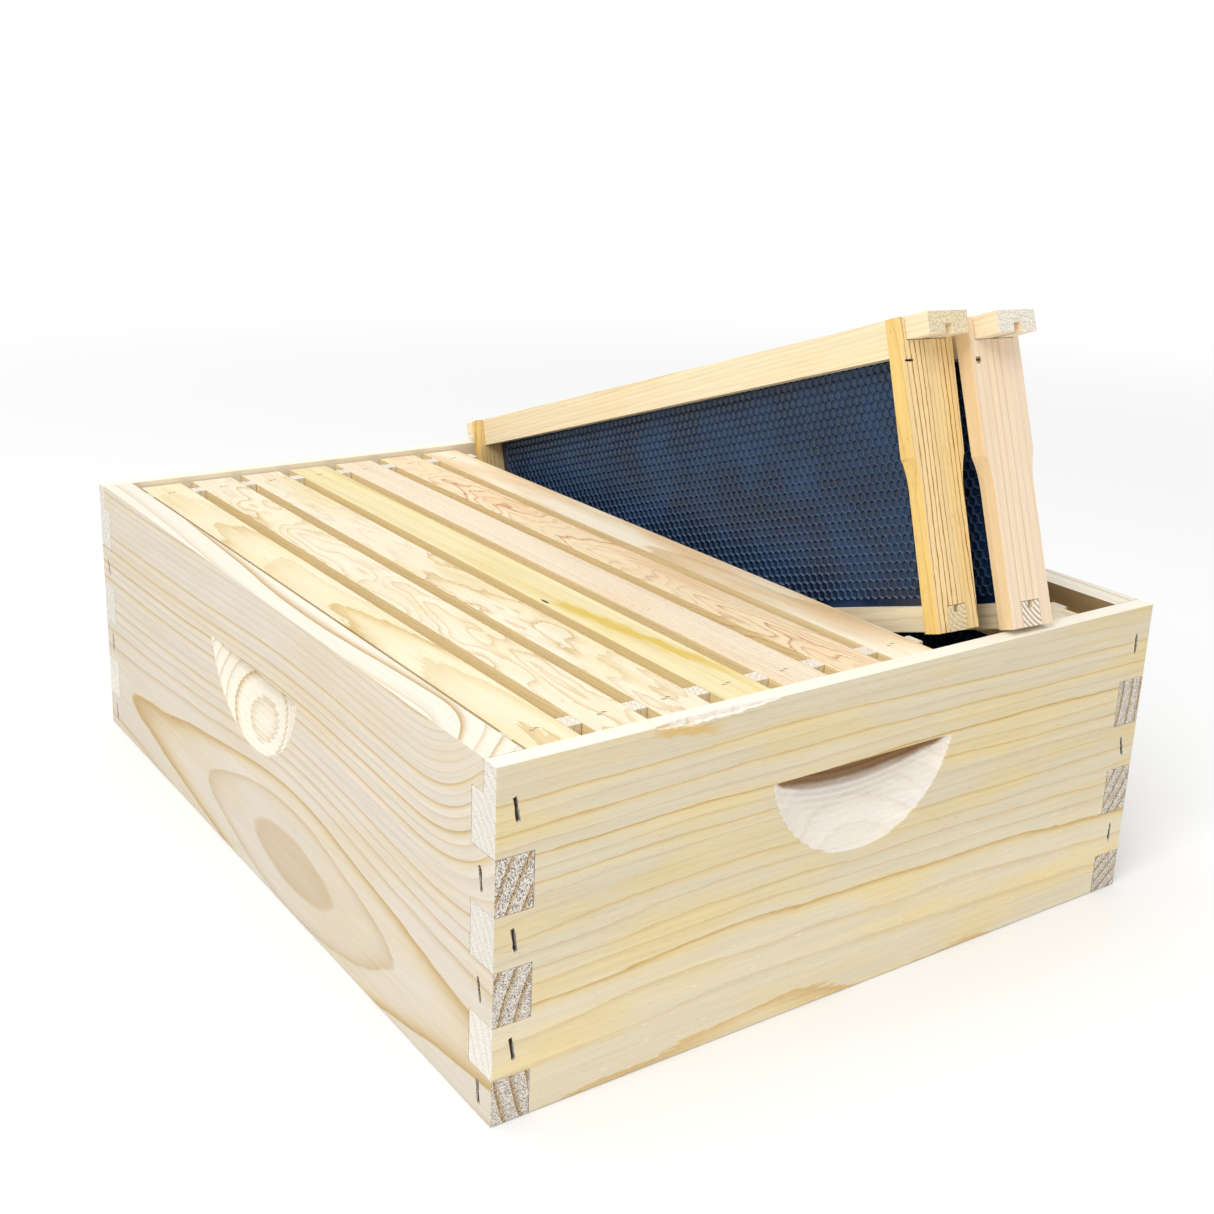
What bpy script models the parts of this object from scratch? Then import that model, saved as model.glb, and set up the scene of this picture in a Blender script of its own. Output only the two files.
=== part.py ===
"""Langstroth medium hive super: a box of four finger-jointed pine boards holding ten wooden frames.

Metres, +Z up, X across the frames, Y along them. The front board faces -Y. Each board has a
handhold in its outer face.
The origin is the bottom centre of the whole object's bounding box. Eight frames hang in the
rabbets of the end boards. Frames 08 and 09 are tipped up: their rear ends stay in the box
and their front ends stand above the front board.
"""

import math

import bmesh
import bpy
import numpy as np
from mathutils import Matrix, Vector

# The box.
BOX_LENGTH = 0.5048
BOX_WIDTH = 0.41275
BOX_HEIGHT = 0.1683
BOARD = 0.01905
RIM = 0.0095  # thickness left above the rabbet in an end board
RABBET_DEPTH = 0.0152
FINGER = 0.0262
FIRST_FINGER = 0.0220  # the lowest finger is a little shorter than the rest

# Handhold: a shallow spherical scoop below a straight lip.
SCOOP_RADIUS = 0.0590
SCOOP_DEPTH = 0.0125
SCOOP_CENTRE_Z = 0.1366
SCOOP_LIP_Z = 0.1250
SCOOP_SEGMENTS = 64
SCOOP_RINGS = 6
SCOOP_OVERRUN = 1.15  # the cutter turns past the board's face by this share of its angle

# The frames, in their own directions: across, along and down from the top bar's upper face.
BAR_LENGTH = 0.4826
BAR_WIDTH = 0.0270
BAR_HEIGHT = 0.0190
LUG_LENGTH = 0.0159
LUG_HEIGHT = 0.0114
BAR_GROOVE_WIDTH = 0.0050
BAR_GROOVE_TOP = 0.0062  # wood left above the groove
END_BAR_HEIGHT = 0.15875
END_BAR_THICKNESS = 0.0095
END_BAR_WIDTH = 0.0349
END_BAR_LOWER_WIDTH = 0.0286
SHOULDER_DROP = 0.0700
TAPER_LENGTH = 0.0170
TAPER_STEPS = 6
BOTTOM_BAR_WIDTH = 0.0127
BOTTOM_BAR_HEIGHT = 0.0130
BOTTOM_GROOVE_WIDTH = 0.0034
BOTTOM_GROOVE_DEPTH = 0.0035
FOUNDATION_THICKNESS = 0.0020
FOUNDATION_LENGTH = 0.4270
FOUNDATION_TOP = 0.0070
FOUNDATION_BOTTOM = 0.1489
GAP = 0.0003  # clearance between pieces that touch in the real object

# Where the frames are.
FIRST_FRAME_X = 0.0380  # centre of frame 01, from the left side of the box
FRAME_PITCH = END_BAR_WIDTH + GAP
HANGING_AT_LEFT = 7
TURN = math.radians(1.1)  # frames 08 to 10 stand askew, their rear ends further to +X
TURNED_X = 0.2930  # where frame 08's middle plane meets the rear face, from the left side
TURNED_OFFSET = {8: 0.0, 9: 0.0372, 10: 0.0748}  # from that plane
TIPPED_ANGLE = {8: math.radians(17.8), 9: math.radians(19.62)}
LEAN = math.radians(1.5)  # the tipped frames lean towards +X at the top
TIPPED_GAP = 0.0007  # clearance under a tipped frame, which the lean partly takes up

# Staples.
STAPLE_CROWN = 0.0110
STAPLE_LEG = 0.0280
STAPLE_WIRE = 0.0012
STAPLE_INSET = 0.0100  # from the corner's edge
STAPLE_RECESS = 0.0004
STAPLE_SLANT = math.radians(12.0)
PIT_OVERRUN = 4  # a staple's pit cutter stands out of the board by this many times its clearance

# Colours: red, green, blue, roughness, metallic.
FRONT_PINE = (0.80, 0.68, 0.43, 0.62, 0.0)
SIDE_PINE = (0.84, 0.73, 0.58, 0.62, 0.0)
PALE_PINE = (0.86, 0.76, 0.55, 0.60, 0.0)
GOLDEN_PINE = (0.78, 0.62, 0.30, 0.58, 0.0)
RED_PINE = (0.72, 0.47, 0.28, 0.58, 0.0)
PINK_PINE = (0.78, 0.60, 0.42, 0.60, 0.0)
DARK_PLASTIC = (0.010, 0.016, 0.034, 0.42, 0.0)
DARK_STEEL = (0.12, 0.08, 0.05, 0.50, 0.9)
TOP_BAR_COLOURS = {4: GOLDEN_PINE, 6: RED_PINE, 7: PALE_PINE, 9: PINK_PINE}
END_BAR_COLOURS = {8: GOLDEN_PINE, 9: PINK_PINE}

WELD = 0.00001  # vertices closer than this are one vertex


def tipped_lug_root(angle):
    """Foot of frame 08's rear lug, from the top outer edge of the rear board.

    The lug lies on that edge and the end bar bears on the inner edge of the rabbet."""
    to_front_up = Vector((0, -math.cos(angle), math.sin(angle)))
    frame_up = Vector((0, math.sin(angle), math.cos(angle)))
    rabbet_edge = Vector((0, -BOARD, -RABBET_DEPTH))
    return frame_up * TIPPED_GAP + to_front_up * (rabbet_edge.dot(to_front_up) + TIPPED_GAP)


def tipped_matrix(angle, root):
    """Places a tipped frame about its pivot. root is the foot of its rear lug before the turn."""
    lean_about = Vector((0, 0, -END_BAR_HEIGHT / 2))
    lean = Matrix.Translation(lean_about) @ Matrix.Rotation(LEAN, 4, "Y") @ Matrix.Translation(-lean_about)
    rear_foot = Vector((0, BAR_LENGTH / 2 - LUG_LENGTH, -LUG_HEIGHT))
    tip = Matrix.Translation(root) @ Matrix.Rotation(-angle, 4, "X")
    return Matrix.Rotation(-TURN, 4, "Z") @ tip @ Matrix.Translation(-rear_foot) @ lean


def rear_overhang():
    """How far frame 08's lug reaches past the rear board."""
    angle = TIPPED_ANGLE[8]
    lug_corner = Vector((-BAR_WIDTH / 2, BAR_LENGTH / 2, 0))
    return (tipped_matrix(angle, tipped_lug_root(angle)) @ lug_corner).y


LEFT_X = -BOX_WIDTH / 2
FRONT_Y = -(BOX_LENGTH + rear_overhang()) / 2
REAR_Y = FRONT_Y + BOX_LENGTH
BAR_TOP_Z = BOX_HEIGHT - RABBET_DEPTH + GAP + LUG_HEIGHT


def turned_x(number, y):
    """Where the middle plane of frame 08, 09 or 10 crosses a line across the box."""
    offset = TURNED_OFFSET[number] / math.cos(TURN)
    return LEFT_X + TURNED_X + offset + (y - REAR_Y) * math.tan(TURN)


def clear_scene():
    for item in list(bpy.data.objects):
        bpy.data.objects.remove(item, do_unlink=True)


def new_collection(name):
    group = bpy.data.collections.new(name)
    bpy.context.scene.collection.children.link(group)
    return group


def new_material(name, look):
    red, green, blue, roughness, metallic = look
    made = bpy.data.materials.new(name)
    made.use_nodes = True
    shader = made.node_tree.nodes["Principled BSDF"]
    shader.inputs["Base Color"].default_value = (red, green, blue, 1.0)
    shader.inputs["Roughness"].default_value = roughness
    shader.inputs["Metallic"].default_value = metallic
    made.diffuse_color = (red, green, blue, 1.0)
    return made


def add_object(name, mesh, group):
    made = bpy.data.objects.new(name, mesh)
    group.objects.link(made)
    return made


def add_part(name, mesh, look, parent=None):
    """One sub-part, with a material of its own on its object."""
    made = add_object(name, mesh, PARTS)
    made.parent = parent
    if not mesh.materials:
        mesh.materials.append(None)
    made.material_slots[0].link = "OBJECT"
    made.material_slots[0].material = new_material(name, look)
    return made


def add_cutter(name, mesh):
    made = add_object(name, mesh, CUTTERS)
    made.hide_render = True
    made.display_type = "WIRE"
    return made


def cut(target, cutter):
    change = target.modifiers.new(cutter.name, "BOOLEAN")
    change.operation = "DIFFERENCE"
    change.solver = "EXACT"
    change.object = cutter


def evaluated_mesh(source):
    """The source's mesh with its modifiers applied; the source is removed."""
    bpy.context.view_layer.update()
    graph = bpy.context.evaluated_depsgraph_get()
    mesh = bpy.data.meshes.new_from_object(source.evaluated_get(graph))
    bpy.data.objects.remove(source, do_unlink=True)
    return mesh


def box_mesh(name, low, high):
    """A box between two corners."""
    low, high = Vector(low), Vector(high)
    mesh = bpy.data.meshes.new(name)
    work = bmesh.new()
    size = Matrix.Diagonal((*(high - low), 1.0))
    bmesh.ops.create_cube(work, size=1.0, matrix=Matrix.Translation((low + high) / 2) @ size)
    work.to_mesh(mesh)
    work.free()
    return mesh


def outline_mesh(name, points, thickness, turn):
    """A flat outline drawn in XY, thickened along Z about its middle, then turned."""
    curve = bpy.data.curves.new(name, "CURVE")
    curve.dimensions = "2D"
    curve.fill_mode = "BOTH"
    curve.extrude = thickness / 2
    line = curve.splines.new("POLY")
    line.points.add(len(points) - 1)
    for spot, (x, y) in zip(line.points, points):
        spot.co = (x, y, 0, 1)
    line.use_cyclic_u = True
    mesh = evaluated_mesh(add_object(name, curve, CUTTERS))
    work = bmesh.new()
    work.from_mesh(mesh)
    bmesh.ops.remove_doubles(work, verts=work.verts, dist=WELD)
    for level in (-thickness / 2, thickness / 2):
        cap = [face for face in work.faces if all(abs(v.co.z - level) < WELD for v in face.verts)]
        bmesh.ops.dissolve_faces(work, faces=cap)
    bmesh.ops.recalc_face_normals(work, faces=work.faces)
    bmesh.ops.transform(work, matrix=turn, verts=work.verts)
    work.to_mesh(mesh)
    work.free()
    bpy.data.curves.remove(curve)
    return mesh


FACING_FRONT = Matrix.Rotation(math.radians(90), 4, "X")  # the drawing's y becomes +Z
FACING_SIDE = Matrix.Rotation(math.radians(90), 4, "Z") @ FACING_FRONT  # x becomes +Y too


def finger_levels():
    """Heights where one board's fingers end and the other's begin, bottom up."""
    return [FIRST_FINGER + FINGER * step for step in range(5)]


def end_board_outline():
    """Half of an end board seen from the front: the right edge, from bottom to top."""
    half = BOX_WIDTH / 2
    inner = half - BOARD - GAP
    first, second, third, fourth, fifth = finger_levels()
    edge = [(inner, 0), (inner, first + GAP), (half, first + GAP), (half, second - GAP)]
    edge += [(inner, second - GAP), (inner, third + GAP), (half, third + GAP), (half, fourth - GAP)]
    edge += [(inner, fourth - GAP), (inner, fifth + GAP), (half, fifth + GAP), (half, BOX_HEIGHT)]
    return edge


def side_board_outline():
    """Half of a side board seen from the side: one end's edge, from bottom to top."""
    half = BOX_LENGTH / 2
    inner = half - BOARD - GAP
    rim = half - RIM - GAP
    first, second, third, fourth, fifth = finger_levels()
    shelf = BOX_HEIGHT - RABBET_DEPTH + GAP
    edge = [(half, 0), (half, first), (inner, first), (inner, second), (half, second), (half, third)]
    edge += [(inner, third), (inner, fourth), (half, fourth), (half, fifth), (inner, fifth)]
    edge += [(inner, shelf), (rim, shelf), (rim, BOX_HEIGHT)]
    return edge


def mirrored(edge):
    """A closed outline from its right-hand half."""
    return edge + [(-x, y) for x, y in reversed(edge)]


def scoop_cutter(name):
    """The handhold's cutter: a spherical cap turned about Y, cut off flat at the lip."""
    ball = (SCOOP_RADIUS**2 + SCOOP_DEPTH**2) / (2 * SCOOP_DEPTH)
    reach = math.asin(SCOOP_RADIUS / ball)
    angles = np.linspace(0.0, reach * SCOOP_OVERRUN, SCOOP_RINGS + 1)
    depth_at = [ball * math.cos(angle) - (ball - SCOOP_DEPTH) for angle in angles]
    work = bmesh.new()
    profile = [work.verts.new((ball * math.sin(a), depth, 0)) for a, depth in zip(angles, depth_at)]
    profile.append(work.verts.new((0, depth_at[-1], 0)))
    edges = [work.edges.new(pair) for pair in zip(profile, profile[1:])]
    bmesh.ops.spin(
        work,
        geom=profile + edges,
        cent=(0, 0, 0),
        axis=(0, 1, 0),
        angle=math.tau,
        steps=SCOOP_SEGMENTS,
        use_merge=True,
    )
    bmesh.ops.remove_doubles(work, verts=work.verts, dist=WELD)
    lip = (0, 0, SCOOP_LIP_Z - SCOOP_CENTRE_Z)
    everything = work.verts[:] + work.edges[:] + work.faces[:]
    bmesh.ops.bisect_plane(work, geom=everything, plane_co=lip, plane_no=(0, 0, 1), clear_outer=True)
    bmesh.ops.holes_fill(work, edges=work.edges)
    bmesh.ops.recalc_face_normals(work, faces=work.faces)
    mesh = bpy.data.meshes.new(name)
    work.to_mesh(mesh)
    work.free()
    return add_cutter(name, mesh)


def end_board_mesh():
    """An end board with its rabbet and handhold, its outer face on y = 0 and facing -Y."""
    into_board = Matrix.Translation((0, BOARD / 2, 0)) @ FACING_FRONT
    mesh = outline_mesh("end_board", mirrored(end_board_outline()), BOARD, into_board)
    board = add_object("end_board", mesh, CUTTERS)
    low = (-BOX_WIDTH, RIM, BOX_HEIGHT - RABBET_DEPTH)
    high = (BOX_WIDTH, 2 * BOARD, BOX_HEIGHT + BOARD)
    cut(board, add_cutter("rabbet_cutter", box_mesh("rabbet_cutter", low, high)))
    scoop = scoop_cutter("handhold_cutter")
    scoop.location.z = SCOOP_CENTRE_Z
    cut(board, scoop)
    return evaluated_mesh(board)


def staple_outline(grow):
    """A staple seen from above its crown's edge, driven along +Y. grow is added all round."""
    outer = STAPLE_CROWN / 2 + grow
    inner = STAPLE_CROWN / 2 - STAPLE_WIRE - grow
    top = 0 if grow else STAPLE_RECESS
    top -= grow * PIT_OVERRUN
    crown = STAPLE_RECESS + STAPLE_WIRE + grow
    tip = STAPLE_RECESS + STAPLE_LEG + grow
    return mirrored([(inner, crown), (inner, tip), (outer, tip), (outer, top)])


def staple_places():
    """Name, place and turn of each staple at the front left corner."""
    _, second, third, fourth, fifth = finger_levels()
    front_heights = [(fifth + BOX_HEIGHT) / 2, (third + fourth) / 2, (FIRST_FINGER + second) / 2]
    side_heights = [(fourth + fifth) / 2, (second + third) / 2, FIRST_FINGER / 2]
    upright = Matrix.Rotation(math.radians(90), 4, "Y")
    slanted = Matrix.Rotation(-STAPLE_SLANT, 4, "Y") @ upright
    into_side = Matrix.Rotation(math.radians(-90), 4, "Z") @ slanted
    places = []
    for number, height in enumerate(front_heights, 1):
        spot = Vector((LEFT_X + STAPLE_INSET, FRONT_Y, height))
        places.append((f"front_staple_{number}", Matrix.Translation(spot) @ slanted))
    for number, height in enumerate(side_heights, 1):
        spot = Vector((LEFT_X, FRONT_Y + STAPLE_INSET + STAPLE_WIRE, height))
        places.append((f"side_staple_{number}", Matrix.Translation(spot) @ into_side))
    return places


def side_board_mesh():
    """A side board with its handhold, its outer face on x = 0 and facing -X."""
    into_board = Matrix.Translation((BOARD / 2, 0, 0)) @ FACING_SIDE
    mesh = outline_mesh("side_board", mirrored(side_board_outline()), BOARD, into_board)
    board = add_object("side_board", mesh, CUTTERS)
    scoop = scoop_cutter("side_handhold_cutter")
    scoop.rotation_euler.z = -math.pi / 2
    scoop.location.z = SCOOP_CENTRE_Z
    cut(board, scoop)
    return evaluated_mesh(board)


def build_box():
    ends = end_board_mesh()
    sides = side_board_mesh()
    front = add_part("front_board", ends.copy(), FRONT_PINE)
    front.location.y = FRONT_Y
    rear = add_part("rear_board", ends, FRONT_PINE)
    rear.location.y = REAR_Y
    rear.rotation_euler.z = math.pi
    middle_y = (FRONT_Y + REAR_Y) / 2
    left = add_part("left_board", sides.copy(), SIDE_PINE)
    left.location = (LEFT_X, middle_y, 0)
    right = add_part("right_board", sides, SIDE_PINE)
    right.location = (-LEFT_X, middle_y, 0)
    right.rotation_euler.z = math.pi
    wire = outline_mesh("staple", staple_outline(0), STAPLE_WIRE, Matrix.Identity(4))
    slot_width = STAPLE_WIRE + 2 * GAP
    slot = outline_mesh("staple_slot", staple_outline(GAP), slot_width, Matrix.Identity(4))
    for name, place in staple_places():
        staple = add_part(name, wire, DARK_STEEL)
        staple.matrix_world = place
        cutter = add_cutter(f"{name}_cutter", slot)
        cutter.matrix_world = place
        cut(front, cutter)
        cut(left, cutter)


def end_bar_outline():
    """Half of an end bar seen from the front: its right edge, from the top slot down.

    Below the shoulder's corner the edge is an arc that runs into the narrower part."""
    upper = END_BAR_WIDTH / 2
    lower = END_BAR_LOWER_WIDTH / 2
    slot = BAR_WIDTH / 2 + GAP
    notch = BOTTOM_BAR_WIDTH / 2 + GAP
    edge = [(slot, -LUG_HEIGHT - GAP), (slot, 0), (upper, 0)]
    step_in = upper - lower
    radius = (TAPER_LENGTH**2 + step_in**2) / (2 * step_in)
    for step in range(TAPER_STEPS + 1):
        to_go = TAPER_LENGTH * (1 - step / TAPER_STEPS)
        out = radius - math.sqrt(radius**2 - to_go**2)
        edge.append((lower + out, -SHOULDER_DROP - TAPER_LENGTH + to_go))
    edge += [(lower, -END_BAR_HEIGHT), (notch, -END_BAR_HEIGHT)]
    edge.append((notch, -END_BAR_HEIGHT + BOTTOM_BAR_HEIGHT + GAP))
    return edge


def top_bar_mesh():
    """A top bar with a lug at each end and a groove under it, its upper face on z = 0."""
    end = BAR_LENGTH / 2
    body_end = end - LUG_LENGTH - END_BAR_THICKNESS - GAP
    edge = [(body_end, -BAR_HEIGHT), (body_end, -LUG_HEIGHT), (end, -LUG_HEIGHT), (end, 0)]
    mesh = outline_mesh("top_bar", mirrored(edge), BAR_WIDTH, FACING_SIDE)
    bar = add_object("top_bar", mesh, CUTTERS)
    half = BAR_GROOVE_WIDTH / 2
    low = (-half, -BAR_LENGTH, -2 * BAR_HEIGHT)
    groove = box_mesh("bar_groove", low, (half, BAR_LENGTH, -BAR_GROOVE_TOP))
    cut(bar, add_cutter("bar_groove_cutter", groove))
    return evaluated_mesh(bar)


def bottom_bar_mesh():
    """A bottom bar with a groove along its upper face, in the frame's own directions."""
    half_length = BAR_LENGTH / 2 - LUG_LENGTH
    half_width = BOTTOM_BAR_WIDTH / 2
    upper = -END_BAR_HEIGHT + BOTTOM_BAR_HEIGHT
    low = (-half_width, -half_length, -END_BAR_HEIGHT)
    bar = add_object("bottom_bar", box_mesh("bottom_bar", low, (half_width, half_length, upper)), CUTTERS)
    half = BOTTOM_GROOVE_WIDTH / 2
    low = (-half, -BAR_LENGTH, upper - BOTTOM_GROOVE_DEPTH)
    groove = box_mesh("bottom_groove", low, (half, BAR_LENGTH, upper + BOTTOM_GROOVE_DEPTH))
    cut(bar, add_cutter("bottom_groove_cutter", groove))
    return evaluated_mesh(bar)


def frame_meshes():
    """The five sub-parts of a frame, as name and mesh, about the middle of its top face."""
    outer = BAR_LENGTH / 2 - LUG_LENGTH
    half = FOUNDATION_THICKNESS / 2
    low = (-half, -FOUNDATION_LENGTH / 2, -FOUNDATION_BOTTOM)
    high = (half, FOUNDATION_LENGTH / 2, -FOUNDATION_TOP)
    meshes = {"top_bar": top_bar_mesh()}
    for side, middle in (("front", END_BAR_THICKNESS / 2 - outer), ("rear", outer - END_BAR_THICKNESS / 2)):
        place = Matrix.Translation((0, middle, 0)) @ FACING_FRONT
        outline = mirrored(end_bar_outline())
        meshes[f"{side}_end_bar"] = outline_mesh("end_bar", outline, END_BAR_THICKNESS, place)
    meshes["bottom_bar"] = bottom_bar_mesh()
    meshes["foundation"] = box_mesh("foundation", low, high)
    return meshes


def piece_look(number, piece):
    if piece == "foundation":
        return DARK_PLASTIC
    if piece.endswith("end_bar"):
        return END_BAR_COLOURS.get(number, PALE_PINE)
    return TOP_BAR_COLOURS.get(number, PALE_PINE)


def build_frame(number, meshes, pivot, place):
    """One frame under an empty at its pivot. place puts the top bar's middle in the world."""
    anchor = bpy.data.objects.new(f"frame_{number:02d}_anchor", None)
    anchor.location = pivot
    PARTS.objects.link(anchor)
    offset = Matrix.Translation(-Vector(pivot)) @ place
    for piece, mesh in meshes.items():
        part = add_part(f"frame_{number:02d}_{piece}", mesh, piece_look(number, piece), anchor)
        part.matrix_basis = offset


def frame_08_pose():
    """Frame 08's lug lies on the rear board's outer top edge, which is its pivot."""
    angle = TIPPED_ANGLE[8]
    pivot = Vector((turned_x(8, REAR_Y), REAR_Y, BOX_HEIGHT))
    return pivot, Matrix.Translation(pivot) @ tipped_matrix(angle, tipped_lug_root(angle))


def frame_09_pose():
    """Frame 09's rear lug stands in the rabbet, its upper arris against the rim: its pivot."""
    angle = TIPPED_ANGLE[9]
    lug_foot_z = BOX_HEIGHT - RABBET_DEPTH + TIPPED_GAP
    lug_end_y = REAR_Y - RIM - TIPPED_GAP
    pivot = Vector((turned_x(9, lug_end_y), lug_end_y, lug_foot_z + LUG_HEIGHT * math.cos(angle)))
    down = Vector((0, -math.sin(angle), -math.cos(angle)))
    forward = Vector((0, -math.cos(angle), math.sin(angle)))
    root = down * LUG_HEIGHT + forward * LUG_LENGTH
    return pivot, Matrix.Translation(pivot) @ tipped_matrix(angle, root)


def build_frames():
    meshes = frame_meshes()
    middle_y = (FRONT_Y + REAR_Y) / 2
    for step in range(HANGING_AT_LEFT):
        pivot = Vector((LEFT_X + FIRST_FRAME_X + step * FRAME_PITCH, middle_y, BAR_TOP_Z))
        build_frame(step + 1, meshes, pivot, Matrix.Translation(pivot))
    build_frame(8, meshes, *frame_08_pose())
    build_frame(9, meshes, *frame_09_pose())
    pivot = Vector((turned_x(10, middle_y), middle_y, BAR_TOP_Z))
    build_frame(10, meshes, pivot, Matrix.Translation(pivot) @ Matrix.Rotation(-TURN, 4, "Z"))


clear_scene()
PARTS = new_collection("hive_super")
CUTTERS = new_collection("cutters")
build_box()
build_frames()
bpy.context.view_layer.update()
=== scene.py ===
"""The looks of the hive super: pine boards and frames, plastic foundation and staples.

Metres, +Z up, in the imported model's frame. The boards and bars keep their CAD shapes, with
eased arrises, pits and tool marks cut by modifiers. Foundations and staples are built here.
"""

import math
import random

import bmesh
import bpy
from mathutils import Euler, Matrix, Vector


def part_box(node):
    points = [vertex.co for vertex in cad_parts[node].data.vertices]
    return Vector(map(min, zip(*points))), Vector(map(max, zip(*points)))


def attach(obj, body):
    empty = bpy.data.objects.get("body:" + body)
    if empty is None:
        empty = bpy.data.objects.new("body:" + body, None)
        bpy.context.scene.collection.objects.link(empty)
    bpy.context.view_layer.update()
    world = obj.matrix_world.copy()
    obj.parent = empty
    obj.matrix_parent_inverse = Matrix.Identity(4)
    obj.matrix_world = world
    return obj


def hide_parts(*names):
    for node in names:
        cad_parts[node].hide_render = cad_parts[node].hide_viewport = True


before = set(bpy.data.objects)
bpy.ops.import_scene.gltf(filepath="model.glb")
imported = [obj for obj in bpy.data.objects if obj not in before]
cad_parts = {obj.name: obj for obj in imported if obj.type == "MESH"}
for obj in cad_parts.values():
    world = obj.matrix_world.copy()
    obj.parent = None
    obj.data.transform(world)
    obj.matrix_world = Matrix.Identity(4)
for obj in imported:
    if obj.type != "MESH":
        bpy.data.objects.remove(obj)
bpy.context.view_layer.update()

MM = 0.001
WOOD_TONE = 0.94
WELD = 0.00001  # vertices closer than this are one vertex

# How far sawn edges are eased.
BOARD_ARRIS = 0.0006
TOP_BAR_ARRIS = 0.0013
BOTTOM_BAR_ARRIS = 0.0004
END_BAR_ARRIS = 0.0005

FRAMES = range(1, 11)
HEXAGON = 6

# The camera: where it stands, and its aim in degrees.
CAMERA_PLACE = (-0.5009, -0.7349, 0.4312)
CAMERA_AZIMUTH = 33.61
CAMERA_DOWN = 16.85
CAMERA_ROLL = 1.56
CAMERA_LENS = 45.9
CAMERA_SHIFT = (0.044, -0.050)

# Handhold: the tool leaves ridges round the middle of its sweep.
SCOOP_RADIUS = 0.0590
SCOOP_DEPTH = 0.0125
SCOOP_CENTRE_Z = 0.1366
SCOOP_LIP_Z = 0.12515
SCOOP_LIP_ROOM = 0.0080  # how far the cutter reaches up behind the lip
SCOOP_COLUMNS = 48
SCOOP_ROW = 0.0006
RIDGE_PITCH = 0.0031
RIDGE_HEIGHT = 0.00042
RIDGE_CENTRE_UP = 0.090
LIP_UNDERCUT = math.radians(22)

# Foundation: a sheet embossed with six-sided cells on both faces.
CELL_PITCH = 0.0054
CELL_MARGIN = 0.0060
CELL_RIDGE = 0.00225  # from the sheet's middle plane
CELL_FLOOR = 0.00108
CELL_DIP = 0.00040  # the floor's middle lies this much lower
CELL_WALL = 0.00095  # how far a wall leans in
CELL_SKIRT = 0.00090

# Corner staples, and the pits that they sit in.
CROWN = 0.0108
WIRE_RADIUS = 0.00050
LEG = 0.0200
BEND = 0.0012
CROWN_DEPTH = 0.0007
CROWN_SLANT = math.radians(12)
PIT = Vector((0.0023, 0.0120, 0.0013))  # wide, long, deep
SLOT_STEPS = 7

# The frames' staples.
SMALL_WIRE_RADIUS = 0.00045
BAR_STAPLE_SPREAD = 0.0016
BAR_STAPLE_STEP = 0.0006
BAR_STAPLE_SLANT = math.radians(14)
BAR_STAPLE_LENGTH = 0.0021
BAR_STAPLE_DEPTH = 0.0009
BAR_PIT = (0.0027, 0.0012, 0.0024)
END_STAPLE = Vector((-0.0131, -0.0218))  # across and up, on a frame's front end bar
END_STAPLE_LENGTH = 0.0050
END_PIT = Vector((0.0015, 0.0060, 0.0018))  # wide, long, deep
END_STAPLE_DEPTH = 0.0010
KNOT = Vector((0.0042, 0.0038, 0.0022))
KNOTTED = (9, "front")  # the end bar whose staple is in a knot
STREAKED = 4  # the top bar with a pitch pocket

# Where the front board's upper arris tore away, from its left end.
TORN_START = 0.079
TORN_END = 0.149
TORN_STEPS = 28
TORN_HEIGHT = (0.0008, 0.0030)
TORN_DEPTH = (0.0005, 0.0026)
TORN_RISE = 0.0006  # its floor is this much higher behind
PAST_FACE = 0.001  # how far a cutter stands past the face that it cuts

# The stage. Far from the light the floor glows a little, to meet the white walls without a line.
FLOOR_WIDTH = 30.0
FLOOR_THICKNESS = 0.02
FLOOR_DROP = 0.0005
FLOOR_TONE = 0.88
FLOOR_NEAR = 0.9
FLOOR_FAR = 3.6
FLOOR_GLOW = 0.34
WALL_LIGHT = (0.06, 0.28, 1.0, 0.58)  # from one height to another, the light falls
OVERHEAD_LIGHT = (0.45, 0.95, 0.0, 0.6)
LIGHTS = {  # where, how wide and how bright
    "key": ((-1.6, -0.8, 1.9), 1.1, 26.0),
    "top": ((-0.5, 0.5, 2.2), 1.0, 5.0),
}
LIT_POINT = Vector((0, 0, 0.1))


def linear(red, green, blue):
    """A linear colour from everyday values of 0 to 255."""
    shares = [value / 255 for value in (red, green, blue)]
    low = [share / 12.92 for share in shares]
    high = [((share + 0.055) / 1.055) ** 2.4 for share in shares]
    return (*(a if share <= 0.04045 else b for share, a, b in zip(shares, low, high)), 1.0)


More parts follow.
